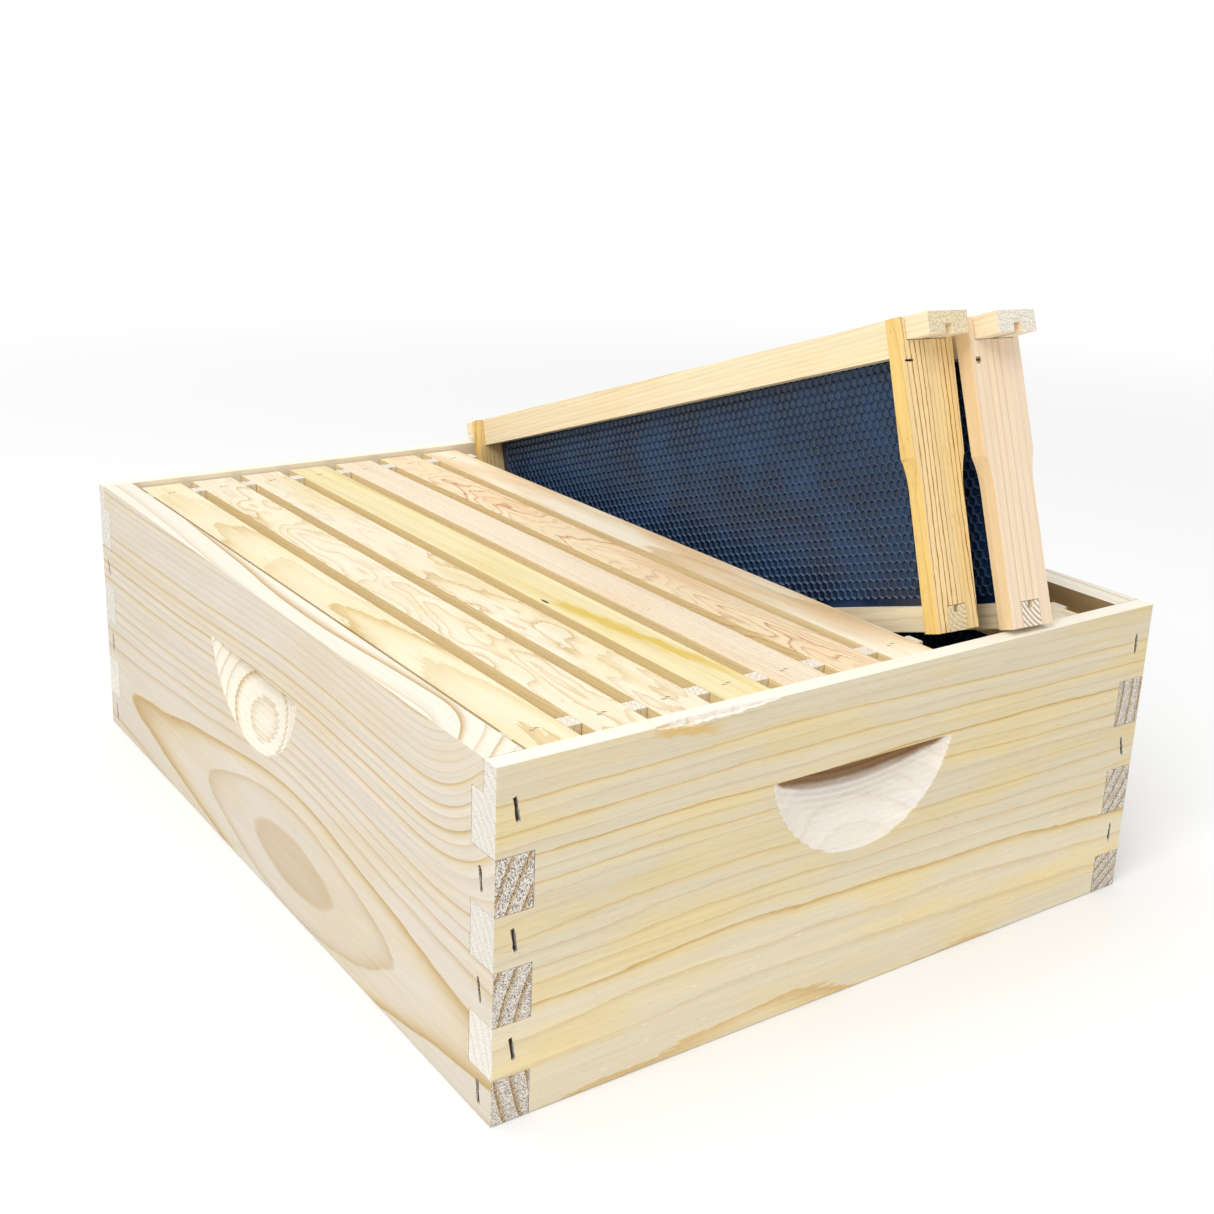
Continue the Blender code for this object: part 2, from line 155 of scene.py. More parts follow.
class Graph:
    """Adds nodes to a node tree, one short call for each."""

    def __init__(self, tree):
        self.tree = tree

    def give(self, socket, value):
        if isinstance(value, bpy.types.NodeSocket):
            self.tree.links.new(value, socket)
        else:
            socket.default_value = value

    def node(self, kind, inputs=None, **settings):
        made = self.tree.nodes.new(kind)
        for key, value in settings.items():
            setattr(made, key, value)
        for key, value in (inputs or {}).items():
            self.give(made.inputs[key], value)
        return made

    def math(self, operation, *values, clamp=False):
        made = self.node("ShaderNodeMath", operation=operation, use_clamp=clamp)
        for socket, value in zip(made.inputs, values):
            self.give(socket, value)
        return made.outputs[0]

    def chain(self, operation, first, *others):
        for other in others:
            first = self.math(operation, first, other)
        return first

    def times(self, *values):
        return self.chain("MULTIPLY", *values)

    def plus(self, *values):
        return self.chain("ADD", *values)

    def minus(self, *values):
        return self.chain("SUBTRACT", *values)

    def over(self, first, second):
        return self.math("DIVIDE", first, second)

    def size(self, value):
        return self.math("ABSOLUTE", value)

    def vector(self, operation, *values):
        made = self.node("ShaderNodeVectorMath", operation=operation)
        for socket, value in zip(made.inputs, values):
            self.give(socket, value)
        return made.outputs[0]

    def noise(self, place, detail=2.0, roughness=0.5, output="Fac"):
        inputs = {"Vector": place, "Scale": 1.0, "Detail": detail, "Roughness": roughness}
        return self.node("ShaderNodeTexNoise", inputs).outputs[output]

    def stretched(self, place, along, across, **settings):
        """Noise whose blobs are along by across by across, in the units of place."""
        scale = (1 / along, 1 / across, 1 / across)
        return self.noise(self.vector("MULTIPLY", place, scale), **settings)

    def uneven(self, place, along, across, **settings):
        """Stretched noise about zero."""
        return self.minus(self.stretched(place, along, across, **settings), 0.5)

    def ramp(self, value, low, high, to_low=0.0, to_high=1.0):
        inputs = {"Value": value, 1: low, 2: high, 3: to_low, 4: to_high}
        return self.node("ShaderNodeMapRange", inputs, interpolation_type="SMOOTHSTEP").outputs[0]

    def mix(self, share, first, second, blend="MIX"):
        made = self.node("ShaderNodeMix", {0: share, 6: first, 7: second}, data_type="RGBA")
        made.blend_type = blend
        return made.outputs[2]

    def shade(self, colour, factor):
        """The colour times a number near one."""
        grey = self.node("ShaderNodeCombineXYZ", {0: factor, 1: factor, 2: factor}).outputs[0]
        return self.mix(1.0, colour, grey, "MULTIPLY")

    def scaled(self, place, factor):
        return self.node("ShaderNodeVectorMath", {0: place, "Scale": factor}, operation="SCALE").outputs[0]

    def parts(self, place):
        return self.node("ShaderNodeSeparateXYZ", {0: place}).outputs[:]

    def relief(self, height):
        """A bumped normal, from a height in millimetres."""
        inputs = {"Strength": 1.0, "Distance": MM, "Height": height}
        return self.node("ShaderNodeBump", inputs).outputs[0]


# Every number that the pine group takes, in millimetres where it is a length.
PINE = {
    "Pith": (0.0, 0.0, 120.0),  # along the grain, across it, and behind the face
    "Bow height": 0.0,
    "Bow length": 130.0,
    "Rise": 0.0,
    "Lean": 0.0,
    "Ring": 3.0,
    "Outer ring": 3.0,
    "Change": 20.0,
    "Offset": 0.0,
    "Wander": 0.6,
    "Ragged": 0.16,
    "Variety": 1.5,
    "Bands": 0.0,
    "Core": 0.0,
    "Swirl": 0.0,
    "Line": 0.5,
    "Softness": 0.30,
    "Edge": 0.94,
    "Dashes": 0.15,
    "Patches": 0.5,
    "Thickness": 1000.0,
    "Fresh share": 0.0,
    "Fresh fade": 0.45,
    "Fresh rings": 1.0,
    "End stripes": 0.62,
    "End speckle": 0.34,
    # How much painted warm shade covers faces that look sideways, standing in for light bounced between the
    # bars.
    "Side shade share": 0.0,
    "Seed": 0.0,
    "Early": linear(243, 230, 202),
    "Late": linear(214, 182, 130),
    "Warm": linear(238, 216, 168),
    "Fresh": linear(247, 240, 224),
    "End": linear(246, 240, 228),
    # The colour of that painted warm shade.
    "Side": linear(252, 228, 170),
}
SEED_STEP = (37.0, 91.0, 53.0)  # how far apart in the noise two seeds are
PORES = 2.1  # pores to the millimetre
RESIN_TONE = 0.42
INSIDE_SHADE = linear(158, 124, 74)  # painted shade on a board's inner face, standing in for its shadow
INSIDE_SHADE_SHARE = 0.8


def pine_group():
    """Solid pine: rings about a bowed pith line, fibres, resin dashes and end grain."""
    tree = bpy.data.node_groups.new("pine", "ShaderNodeTree")
    kinds = {float: "NodeSocketFloat", 3: "NodeSocketVector", 4: "NodeSocketColor"}
    for name in ("Place", "Facing"):
        tree.interface.new_socket(name, in_out="INPUT", socket_type=kinds[3])
    tree.interface.new_socket("Level", in_out="INPUT", socket_type=kinds[float])
    for name, value in PINE.items():
        kind = kinds[float] if isinstance(value, float) else kinds[len(value)]
        tree.interface.new_socket(name, in_out="INPUT", socket_type=kind).default_value = value
    tree.interface.new_socket("Colour", in_out="OUTPUT", socket_type=kinds[4])
    tree.interface.new_socket("Height", in_out="OUTPUT", socket_type=kinds[float])
    tree.interface.new_socket("Roughness", in_out="OUTPUT", socket_type=kinds[float])
    g = Graph(tree)
    given = g.node("NodeGroupInput").outputs
    place = g.vector("ADD", given["Place"], g.scaled(SEED_STEP, given["Seed"]))

    # The grain drifts sideways in slow swirls.
    drift = g.vector("SUBTRACT", g.stretched(place, 55, 16, detail=1.0, output="Color"), (0.5, 0.5, 0.5))
    along, across, depth = g.parts(g.vector("ADD", given["Place"], g.scaled(drift, given["Swirl"])))

    # How far a point is from the pith, which bows, rises and leans along the board.
    pith_along, pith_across, pith_depth = g.parts(given["Pith"])
    run = g.minus(along, pith_along)
    run_squared = g.times(run, run)
    bow = g.over(run_squared, g.plus(run_squared, g.times(given["Bow length"], given["Bow length"])))
    deep = g.plus(pith_depth, depth, g.times(bow, given["Bow height"]), g.times(run, given["Rise"]))
    side = g.minus(across, pith_across, g.times(run, given["Lean"]))
    reach = g.math("SQRT", g.plus(g.times(deep, deep), g.times(side, side)))

    # Wood that a tool laid bare, below the face and before the back.
    before_back = g.ramp(g.plus(given["Thickness"], given["Level"]), 0.08, 0.45)
    fresh = g.times(g.ramp(g.times(given["Level"], -1.0), 0.08, 0.45), before_back)

    # How far out a point is, in rings.
    slow = g.uneven(place, 150, 26, detail=1.0)
    quick = g.uneven(place, 42, 7, detail=2.0)
    ragged = g.uneven(place, 9, 1.5, detail=2.0)
    wander = g.plus(g.times(slow, 2.0), g.times(quick, 0.5), g.times(ragged, given["Ragged"]))
    level = g.plus(g.minus(reach, pith_depth, given["Offset"]), g.times(wander, given["Wander"]))
    past = g.math("SMOOTH_MAX", g.minus(level, given["Change"]), 0.0, 2.0)
    tighter = g.minus(g.over(1.0, given["Outer ring"]), g.over(1.0, given["Ring"]))
    rings = g.plus(g.over(level, given["Ring"]), g.times(past, tighter))
    rings = g.times(rings, g.plus(g.times(fresh, g.minus(given["Fresh rings"], 1.0)), 1.0))
    phase = g.math("FRACT", rings)
    number = g.plus(g.math("FLOOR", rings), given["Seed"])
    chance = g.node("ShaderNodeTexWhiteNoise", {"W": number}, noise_dimensions="1D").outputs["Value"]
    rise = g.node("ShaderNodeMapRange", {"Value": phase, 1: given["Softness"], 2: given["Edge"]}).outputs[0]
    fall = g.ramp(phase, 0.95, 1.0, 1.0, 0.0)
    latewood = g.times(g.math("POWER", rise, 2.2), fall)
    strength = g.plus(g.times(g.math("POWER", chance, given["Variety"]), 0.95), 0.22)
    band = g.math("MULTIPLY", latewood, g.times(strength, given["Line"]), clamp=True)

    # Tone: warm patches, wide bands, the core, fresh wood, painted shade on inner faces and on sideways
    # faces, then the rings.
    patch = g.times(g.ramp(g.stretched(place, 120, 22, detail=2.0), 0.42, 0.68), given["Patches"])
    wood = g.mix(patch, given["Early"], given["Warm"])
    wide = g.times(g.ramp(phase, 0.25, 0.95), g.ramp(chance, 0.55, 0.85), fall, given["Bands"])
    wood = g.mix(wide, wood, given["Warm"])
    core = g.ramp(rings, 0.0, 0.06, 1.0, 0.0)
    wood = g.mix(g.times(core, given["Core"]), wood, given["Late"])
    wood = g.mix(g.times(fresh, given["Fresh share"]), wood, given["Fresh"])
    # Painted shade on a board's inner face: browner and darker, as in the box's shadow.
    wood = g.mix(g.times(g.minus(1.0, before_back), INSIDE_SHADE_SHARE), wood, INSIDE_SHADE)
    ahead, sideways, _ = g.parts(given["Facing"])
    # Painted warm shade on faces that look sideways, as where light bounces between the bars.
    wood = g.mix(g.times(g.ramp(g.size(sideways), 0.6, 0.9), given["Side shade share"]), wood, given["Side"])
    band = g.times(band, g.minus(1.0, g.times(fresh, given["Fresh fade"])))
    wood = g.mix(band, wood, given["Late"])

    # Fibres, strands, a little from ring to ring, and resin dashes.
    fibre = g.stretched(place, 26, 0.55, detail=3.0, roughness=0.6)
    strand = g.stretched(place, 90, 2.6, detail=1.0)
    wood = g.shade(wood, g.ramp(fibre, 0.2, 0.8, 0.955, 1.04))
    wood = g.shade(wood, g.ramp(strand, 0.25, 0.75, 0.965, 1.03))
    wood = g.shade(wood, g.ramp(chance, 0.0, 1.0, 0.975, 1.02))
    dashes = g.times(g.ramp(g.stretched(place, 4.5, 0.42, detail=0.0), 0.74, 0.80), given["Dashes"])
    wood = g.mix(dashes, wood, g.shade(given["Late"], RESIN_TONE))

    # Cut across the grain the wood is pale and open, with the rings as darker stripes.
    end = g.ramp(g.size(ahead), 0.55, 0.85)
    pores = g.noise(g.scaled(place, PORES), detail=2.0, roughness=0.7)
    ring_tone = g.times(g.math("POWER", latewood, 0.7), given["End stripes"])
    cut_end = g.mix(ring_tone, given["End"], given["Late"])
    open_pores = g.times(g.ramp(pores, 0.34, 0.56, 1.0, 0.0), given["End speckle"])
    cut_end = g.shade(cut_end, g.minus(1.06, open_pores))
    wood = g.shade(g.mix(end, wood, cut_end), WOOD_TONE)

    # Height in millimetres: fibres and latewood stand out, and resin dashes are low.
    grain = g.plus(g.times(fibre, 0.050), g.times(band, 0.030), g.times(dashes, -0.10))
    rough_end = g.plus(g.times(pores, 0.22), g.times(latewood, 0.05))
    height = g.plus(g.times(grain, g.minus(1.0, end)), g.times(rough_end, end))
    rough = g.plus(g.ramp(fibre, 0.2, 0.8, 0.55, 0.68), g.times(end, 0.15), g.times(band, -0.06))
    out = g.node("NodeGroupOutput")
    for name, value in (("Colour", wood), ("Height", height), ("Roughness", rough)):
        g.give(out.inputs[name], value)
    return tree


PINE_GROUP = pine_group()


def new_material(name):
    made = bpy.data.materials.new(name)
    made.use_nodes = True
    return made, Graph(made.node_tree), made.node_tree.nodes["Principled BSDF"]


def mapped(graph, to_board):
    """Place and facing in a board's own directions, in millimetres."""
    _, turn, _ = to_board.decompose()
    turn = turn.to_euler()
    source = graph.node("ShaderNodeTexCoord").outputs
    settings = {"Vector": source["Object"], "Location": to_board.translation / MM, "Rotation": turn}
    place = graph.node("ShaderNodeMapping", {**settings, "Scale": (1 / MM,) * 3}, vector_type="POINT")
    settings = {"Vector": source["Normal"], "Rotation": turn}
    facing = graph.node("ShaderNodeMapping", settings, vector_type="VECTOR")
    return place.outputs[0], facing.outputs[0]


def pine(name, to_board, look, finish=None, warp=None):
    """A pine material. warp may change the place, and finish the colour, given the graph."""
    made, graph, shader = new_material(name)
    place, facing = mapped(graph, to_board)
    level = graph.parts(place)[2]
    bent = warp(graph, place) if warp else place
    figure = graph.node("ShaderNodeGroup", node_tree=PINE_GROUP)
    for key, value in {"Place": bent, "Facing": facing, "Level": level, **PINE, **look}.items():
        graph.give(figure.inputs[key], value)
    colour = figure.outputs["Colour"]
    if finish:
        colour = finish(graph, place, colour)
    graph.give(shader.inputs["Base Color"], colour)
    graph.give(shader.inputs["Roughness"], figure.outputs["Roughness"])
    graph.give(shader.inputs["Normal"], graph.relief(figure.outputs["Height"]))
    shader.inputs["Specular IOR Level"].default_value = 0.28
    return made


def plastic():
    """Moulded navy-black plastic with a painted highlight along the cells' ridges, and faint dust."""
    made, graph, shader = new_material("foundation_plastic")
    place = graph.scaled(graph.node("ShaderNodeTexCoord").outputs["Object"], 1 / MM)
    cloud = graph.noise(graph.scaled(place, 1 / 34), detail=3.0)
    fine = graph.noise(place, detail=2.0)
    colour = graph.mix(graph.ramp(cloud, 0.35, 0.7), linear(8, 34, 62), linear(18, 52, 88))
    # Painted highlight: the cells' ridges are paler, as where they catch the light.
    ridge = graph.ramp(graph.size(graph.parts(place)[0]), 1.6, CELL_RIDGE / MM, 0.0, 0.50)
    colour = graph.mix(ridge, colour, linear(86, 118, 158))
    dust = graph.ramp(fine, 0.70, 0.78, 0.0, 0.35)
    colour = graph.mix(dust, colour, linear(150, 160, 172))
    graph.give(shader.inputs["Base Color"], colour)
    graph.give(shader.inputs["Roughness"], graph.ramp(cloud, 0.3, 0.7, 0.24, 0.38))
    graph.give(shader.inputs["Normal"], graph.relief(graph.times(fine, 0.03)))
    shader.inputs["Specular IOR Level"].default_value = 0.55
    return made


def steel():
    """Staple wire, dulled and a little rusty."""
    made, graph, shader = new_material("staple_steel")
    place = graph.scaled(graph.node("ShaderNodeTexCoord").outputs["Object"], 1 / MM)
    stain = graph.noise(place, detail=3.0)
    rust = graph.mix(graph.ramp(stain, 0.35, 0.65), linear(70, 54, 38), linear(34, 22, 14))
    graph.give(shader.inputs["Base Color"], rust)
    graph.give(shader.inputs["Roughness"], graph.ramp(stain, 0.3, 0.7, 0.38, 0.62))
    shader.inputs["Metallic"].default_value = 0.6
    return made


def add_object(name, mesh):
    made = bpy.data.objects.new(name, mesh)
    bpy.context.scene.collection.objects.link(made)
    return made


def paint(piece, material):
    """Puts the material on the object, so that pieces that share a mesh can differ."""
    if not piece.data.materials:
        piece.data.materials.append(None)
    for slot in piece.material_slots:
        slot.link = "OBJECT"
        slot.material = material


def add_cutter(name, mesh, body, place=None):
    """A shape that is cut away. It moves with its body and doesn't show."""
    made = add_object(name, mesh)
    made.hide_render = True
    made.display_type = "WIRE"
    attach(made, body)
    if place is not None:
        made.matrix_world = place
    return made


def refine(piece, *cutters, arris):
    """Cuts a CAD node's details, then eases its edges."""
    weld = piece.modifiers.new("weld", "WELD")
    weld.merge_threshold = WELD
    for cutter in cutters:
        cut = piece.modifiers.new(cutter.name, "BOOLEAN")
        cut.operation = "DIFFERENCE"
        cut.solver = "EXACT"
        cut.object = cutter
    ease = piece.modifiers.new("arris", "BEVEL")
    ease.width = arris
    ease.segments = 2
    ease.limit_method = "ANGLE"
    ease.angle_limit = math.radians(35)
    piece.modifiers.new("shading", "WEIGHTED_NORMAL").keep_sharp = True


def mesh_from(work, name):
    mesh = bpy.data.meshes.new(name)
    work.to_mesh(mesh)
    work.free()
    return mesh


def boxes_mesh(name, places, size):
    """One mesh of equal boxes, one at each place."""
    work = bmesh.new()
    for place in places:
        bmesh.ops.create_cube(work, size=1.0, matrix=place @ Matrix.Diagonal((*size, 1.0)))
    return mesh_from(work, name)


def slots_mesh(name, places, size, draw):
    """Ragged slots, one at each place: wide along x, long along y, deep along z."""
    work = bmesh.new()
    for place in places:
        outline = []
        for side in (-1, 1):
            for step in range(SLOT_STEPS + 1):
                along = side * (step / SLOT_STEPS - 0.5)
                taper = 1 - (2 * abs(along)) ** 4 * 0.55
                out = side * size.x / 2 * taper * draw.uniform(0.55, 1.2)
                outline.append(place @ Vector((out, along * size.y, -size.z)))
        floor = work.faces.new([work.verts.new(point) for point in outline])
        raised = bmesh.ops.extrude_face_region(work, geom=[floor])["geom"]
        up = place.to_3x3() @ Vector((0, 0, 2 * size.z))
        for vertex in [item for item in raised if isinstance(item, bmesh.types.BMVert)]:
            vertex.co += up
    bmesh.ops.recalc_face_normals(work, faces=work.faces)
    return mesh_from(work, name)


def wire_mesh(name, paths, radius):
    """Round wires along the given paths."""
    curve = bpy.data.curves.new(name, "CURVE")
    curve.dimensions = "3D"
    curve.bevel_depth = radius
    curve.bevel_resolution = 2
    curve.use_fill_caps = True
    for path in paths:
        line = curve.splines.new("POLY")
        line.points.add(len(path) - 1)
        for spot, point in zip(line.points, path):
            spot.co = (*point, 1)
    source = add_object(name, curve)
    bpy.context.view_layer.update()
    mesh = bpy.data.meshes.new_from_object(source.evaluated_get(bpy.context.evaluated_depsgraph_get()))
    bpy.data.objects.remove(source)
    bpy.data.curves.remove(curve)
    work = bmesh.new()
    work.from_mesh(mesh)
    bmesh.ops.remove_doubles(work, verts=work.verts, dist=WELD)
    work.to_mesh(mesh)
    work.free()
    mesh.shade_smooth()
    mesh.set_sharp_from_angle(angle=math.radians(50))
    return mesh


# The box. A face's own directions are seen from outside: x to the right, y up, z outwards.
BOX_LOW = Vector(map(min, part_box("front_board")[0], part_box("rear_board")[0]))
BOX_HIGH = Vector(map(max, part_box("front_board")[1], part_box("rear_board")[1]))
BOX_MIDDLE = (BOX_LOW + BOX_HIGH) / 2
BOX_SIZE = BOX_HIGH - BOX_LOW
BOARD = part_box("left_board")[1].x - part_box("left_board")[0].x
FACE_TURNS = {"front": 0, "right": 90, "rear": 180, "left": 270}


def face_width(side):
    return BOX_SIZE.x if side in ("front", "rear") else BOX_SIZE.y


def face_matrix(side):
    """Places a face's own directions in the world, from its lower left corner."""
    out = (BOX_SIZE.y if side in ("front", "rear") else BOX_SIZE.x) / 2
    turn = Matrix.Rotation(math.radians(FACE_TURNS[side]), 4, "Z")
    stand = Matrix.Rotation(math.radians(90), 4, "X")
    corner = Matrix.Translation((-face_width(side) / 2, -out, 0))
    return Matrix.Translation((BOX_MIDDLE.x, BOX_MIDDLE.y, 0)) @ turn @ corner @ stand


def scoop_mesh():
    """The handhold's swept floor with its tool ridges, about its middle in a face's own directions."""
    ball = (SCOOP_RADIUS**2 + SCOOP_DEPTH**2) / (2 * SCOOP_DEPTH)
    half = SCOOP_RADIUS * 1.03
    above = SCOOP_LIP_Z - SCOOP_CENTRE_Z + SCOOP_LIP_ROOM
    rows = round((half + above) / SCOOP_ROW)
    work = bmesh.new()
    grid = {}
    for row in range(rows + 1):
        for column in range(SCOOP_COLUMNS + 1):
            x = half * (2 * column / SCOOP_COLUMNS - 1)
            y = -half + (half + above) * row / rows
            swept = math.hypot(x, y - RIDGE_CENTRE_UP)
            ridge = (1 - math.cos(math.tau * swept / RIDGE_PITCH)) / 2 * RIDGE_HEIGHT + RIDGE_HEIGHT / 3
            z = ball - SCOOP_DEPTH - math.sqrt(ball**2 - x**2 - y**2) - ridge
            grid[row, column] = work.verts.new((x, y, z))
    for row in range(rows):
        for column in range(SCOOP_COLUMNS):
            around = ((row, column), (row, column + 1), (row + 1, column + 1), (row + 1, column))
            work.faces.new([grid[spot] for spot in around])
    rim = [edge for edge in work.edges if edge.is_boundary]
    raised = bmesh.ops.extrude_edge_only(work, edges=rim)["geom"]
    for vertex in [item for item in raised if isinstance(item, bmesh.types.BMVert)]:
        vertex.co.z = 2 * SCOOP_DEPTH
    bmesh.ops.holes_fill(work, edges=[edge for edge in work.edges if edge.is_boundary])
    lip = (0, SCOOP_LIP_Z - SCOOP_CENTRE_Z, 0)
    upwards = (0, math.cos(LIP_UNDERCUT), math.sin(LIP_UNDERCUT))
    everything = work.verts[:] + work.edges[:] + work.faces[:]
    bmesh.ops.bisect_plane(work, geom=everything, plane_co=lip, plane_no=upwards, clear_outer=True)
    bmesh.ops.holes_fill(work, edges=[edge for edge in work.edges if edge.is_boundary])
    bmesh.ops.recalc_face_normals(work, faces=work.faces)
    return mesh_from(work, "scoop")


def torn_edge_mesh():
    """Where the front board's upper arris tore away: a low sliver with a ragged lower edge."""
    draw = random.Random(11)
    top = BOX_SIZE.z + PAST_FACE
    work = bmesh.new()
    rings = []
    for step in range(TORN_STEPS + 1):
        share = step / TORN_STEPS
        along = TORN_START + (TORN_END - TORN_START) * share
        swell = math.sin(math.pi * share) ** 0.6 * (1.35 - 0.8 * share)
        height = TORN_HEIGHT[0] + TORN_HEIGHT[1] * swell * draw.uniform(0.55, 1.0)
        depth = TORN_DEPTH[0] + TORN_DEPTH[1] * swell * draw.uniform(0.6, 1.0)
        low = BOX_SIZE.z - height
        corners = [(low, PAST_FACE), (low + TORN_RISE, -depth), (top, -depth * 1.25), (top, PAST_FACE)]
        rings.append([work.verts.new((along, up, out)) for up, out in corners])
    for first, second in zip(rings, rings[1:]):
        for a, b in zip(range(4), (1, 2, 3, 0)):
            work.faces.new((first[a], first[b], second[b], second[a]))
    work.faces.new(rings[0])
    work.faces.new(rings[-1])
    bmesh.ops.recalc_face_normals(work, faces=work.faces)
    return mesh_from(work, "torn_edge")


def staple_path(crown, leg):
    """A staple in a face's own directions: crown upright, legs driven inwards."""
    half = crown / 2
    path = [(0, -half, -leg)]
    for side in (-1, 1):
        for step in range(4):
            angle = math.radians(90) * step / 3
            turn = angle if side < 0 else math.radians(90) - angle
            up = side * (half - BEND + BEND * math.cos(turn))
            path.append((0, up, -CROWN_DEPTH - BEND + BEND * math.sin(turn)))
    path.append((0, half, -leg))
    return path


def staple_spots(side):
    """Where a face's corner staples are, in its own directions: left edge, then right edge."""
    kind = "front" if side in ("front", "rear") else "side"
    axis = "x" if kind == "front" else "y"
    spots = []
    for number in (1, 2, 3):
        low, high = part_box(f"{kind}_staple_{number}")
        inset = (getattr(low, axis) + getattr(high, axis)) / 2 - getattr(BOX_LOW, axis)
        spots.append((inset, (low.z + high.z) / 2))
        spots.append((face_width(side) - inset, (low.z + high.z) / 2))
    return spots


def build_corner_staples(side, place, metal):
    """One piece for each face's staples. Returns the pits that they sit in."""
    draw = random.Random(side)
    spots = []
    for across, up in staple_spots(side):
        slant = CROWN_SLANT * draw.uniform(-0.6, 1.3)
        spots.append(place @ Matrix.Translation((across, up, 0)) @ Matrix.Rotation(slant, 4, "Z"))
    path = [Vector(point) for point in staple_path(CROWN, LEG)]
    mesh = wire_mesh(f"{side}_staples", [[spot @ point for point in path] for spot in spots], WIRE_RADIUS)
    staples = add_object(f"{side}_corner_staples", mesh)
    paint(staples, metal)
    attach(staples, "box")
    if side == "front":
        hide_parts(*(f"front_staple_{number}" for number in (1, 2, 3)))
    if side == "left":
        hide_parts(*(f"side_staple_{number}" for number in (1, 2, 3)))
    return add_cutter(f"{side}_pits", slots_mesh(f"{side}_pits", spots, PIT, draw), "box")


# What the two end boards share, and what the two side boards share.
END_BOARD = {"End": linear(231, 227, 218), "End stripes": 0.32, "End speckle": 0.45,
             "Fresh": linear(250, 243, 236), "Fresh fade": 0.62}
SIDE_BOARD = {"End": linear(238, 228, 216), "End stripes": 1.1, "End speckle": 1.0,
              "Fresh fade": 0.05, "Fresh rings": 0.58}
BOARD_LOOKS = {
    "front": {
        **END_BOARD, "Pith": (150.0, -34.0, 170.0), "Bow height": 6.0, "Bow length": 220.0,
        "Ring": 5.6, "Outer ring": 4.6, "Change": 26.0, "Wander": 3.0, "Ragged": 0.22, "Line": 0.95,
        "Variety": 3.4, "Bands": 0.55, "Softness": 0.62, "Patches": 0.75, "Seed": 3.0,
        "Early": linear(224, 212, 184), "Late": linear(198, 160, 92), "Warm": linear(232, 210, 154),
    },
    "rear": {
        **END_BOARD, "Pith": (300.0, 20.0, 150.0), "Bow height": 7.0, "Bow length": 160.0,
        "Ring": 5.0, "Outer ring": 4.4, "Change": 20.0, "Wander": 2.8, "Ragged": 0.22, "Line": 0.9,
        "Variety": 3.0, "Bands": 0.5, "Softness": 0.6, "Patches": 0.7, "Seed": 8.0,
        "Early": linear(223, 210, 181), "Late": linear(198, 162, 100), "Warm": linear(227, 205, 152),
    },
    "left": {
        **SIDE_BOARD, "Pith": (298.0, 31.0, 80.0), "Bow height": 13.6, "Bow length": 133.0,
        "Ring": 4.6, "Outer ring": 3.7, "Change": 16.0, "Offset": 1.4, "Wander": 0.9, "Ragged": 0.26,
        "Line": 0.95, "Variety": 1.8, "Bands": 0.8, "Core": 0.35, "Softness": 0.50, "Patches": 0.35,
        "Seed": 5.0,
        "Early": linear(218, 208, 192), "Late": linear(192, 160, 108), "Warm": linear(215, 197, 156),
    },
    "right": {
        **SIDE_BOARD, "Pith": (190.0, 120.0, 90.0), "Bow height": 12.0, "Bow length": 150.0,
        "Ring": 4.2, "Outer ring": 3.4, "Change": 14.0, "Wander": 0.9, "Ragged": 0.26, "Line": 0.95,
        "Variety": 1.8, "Bands": 0.7, "Core": 0.35, "Softness": 0.50, "Patches": 0.35, "Seed": 12.0,
        "Early": linear(218, 207, 189), "Late": linear(192, 160, 108), "Warm": linear(214, 195, 153),
    },
}

# Where a handhold's zone fades, in millimetres from a board's middle and up from its lower edge.
HANDHOLD_HALF = (57, 61)
HANDHOLD_FOOT = (69, 74)
HANDHOLD_LIP = (131, 135)
HANDHOLD_GAIN = 2.4  # how much a side board's rings crowd in its handhold
SWEEP_RUN = (-90, 30)  # where the rings sweep up, from a side board's right end
SWEEP = 46.0
# Painted shadow under a handhold's lip: where it fades along the board, and its colour on end and side
# boards.
LIP_SHADOW_HALF = (62, 64)
LIP_SHADOW_COLOUR = linear(134, 94, 42)
SIDE_LIP_SHADOW_COLOUR = linear(190, 160, 110)


def off_middle(graph, along, length):
    return graph.size(graph.minus(along, length / 2))


def side_warp(length):
    """Rings close into ovals in the handhold, and sweep up near the right end of the top edge."""

    def warp(graph, place):
        along, across, depth = graph.parts(place)
        near = graph.ramp(off_middle(graph, along, length), *HANDHOLD_HALF, 1.0, 0.0)
        under = graph.ramp(across, *HANDHOLD_LIP, 1.0, 0.0)
        zone = graph.times(near, graph.ramp(across, *HANDHOLD_FOOT), under)
        depth = graph.times(depth, graph.plus(graph.times(zone, HANDHOLD_GAIN), 1.0))
        sweep = graph.math("POWER", graph.ramp(along, length + SWEEP_RUN[0], length + SWEEP_RUN[1]), 2.0)
        across = graph.minus(across, graph.times(sweep, graph.ramp(across, 60, 168), SWEEP))
        return graph.node("ShaderNodeCombineXYZ", {0: along, 1: across, 2: depth}).outputs[0]

    return warp


def lip_painted_shadow(graph, place, length):
    """Painted shadow under a handhold's lip: how dark it is. The deeper the floor, the further the painted
    shadow reaches.
    """
    along, across, depth = graph.parts(place)
    ragged = graph.times(graph.uneven(place, 9, 2.0, detail=2.0), 2.6)
    below = graph.plus(graph.minus(SCOOP_LIP_Z / MM, across), ragged)
    deep = graph.math("MAXIMUM", graph.times(depth, -1.0), 0.5)
    tone = graph.ramp(graph.over(below, deep), 0.95, 1.85, 1.0, 0.0)
    near = graph.ramp(off_middle(graph, along, length), *LIP_SHADOW_HALF, 1.0, 0.0)
    under = graph.ramp(across, *HANDHOLD_LIP, 1.0, 0.0)
    return graph.times(tone, near, under, graph.ramp(depth, -1.0, -3.0, 0.0, 1.0))


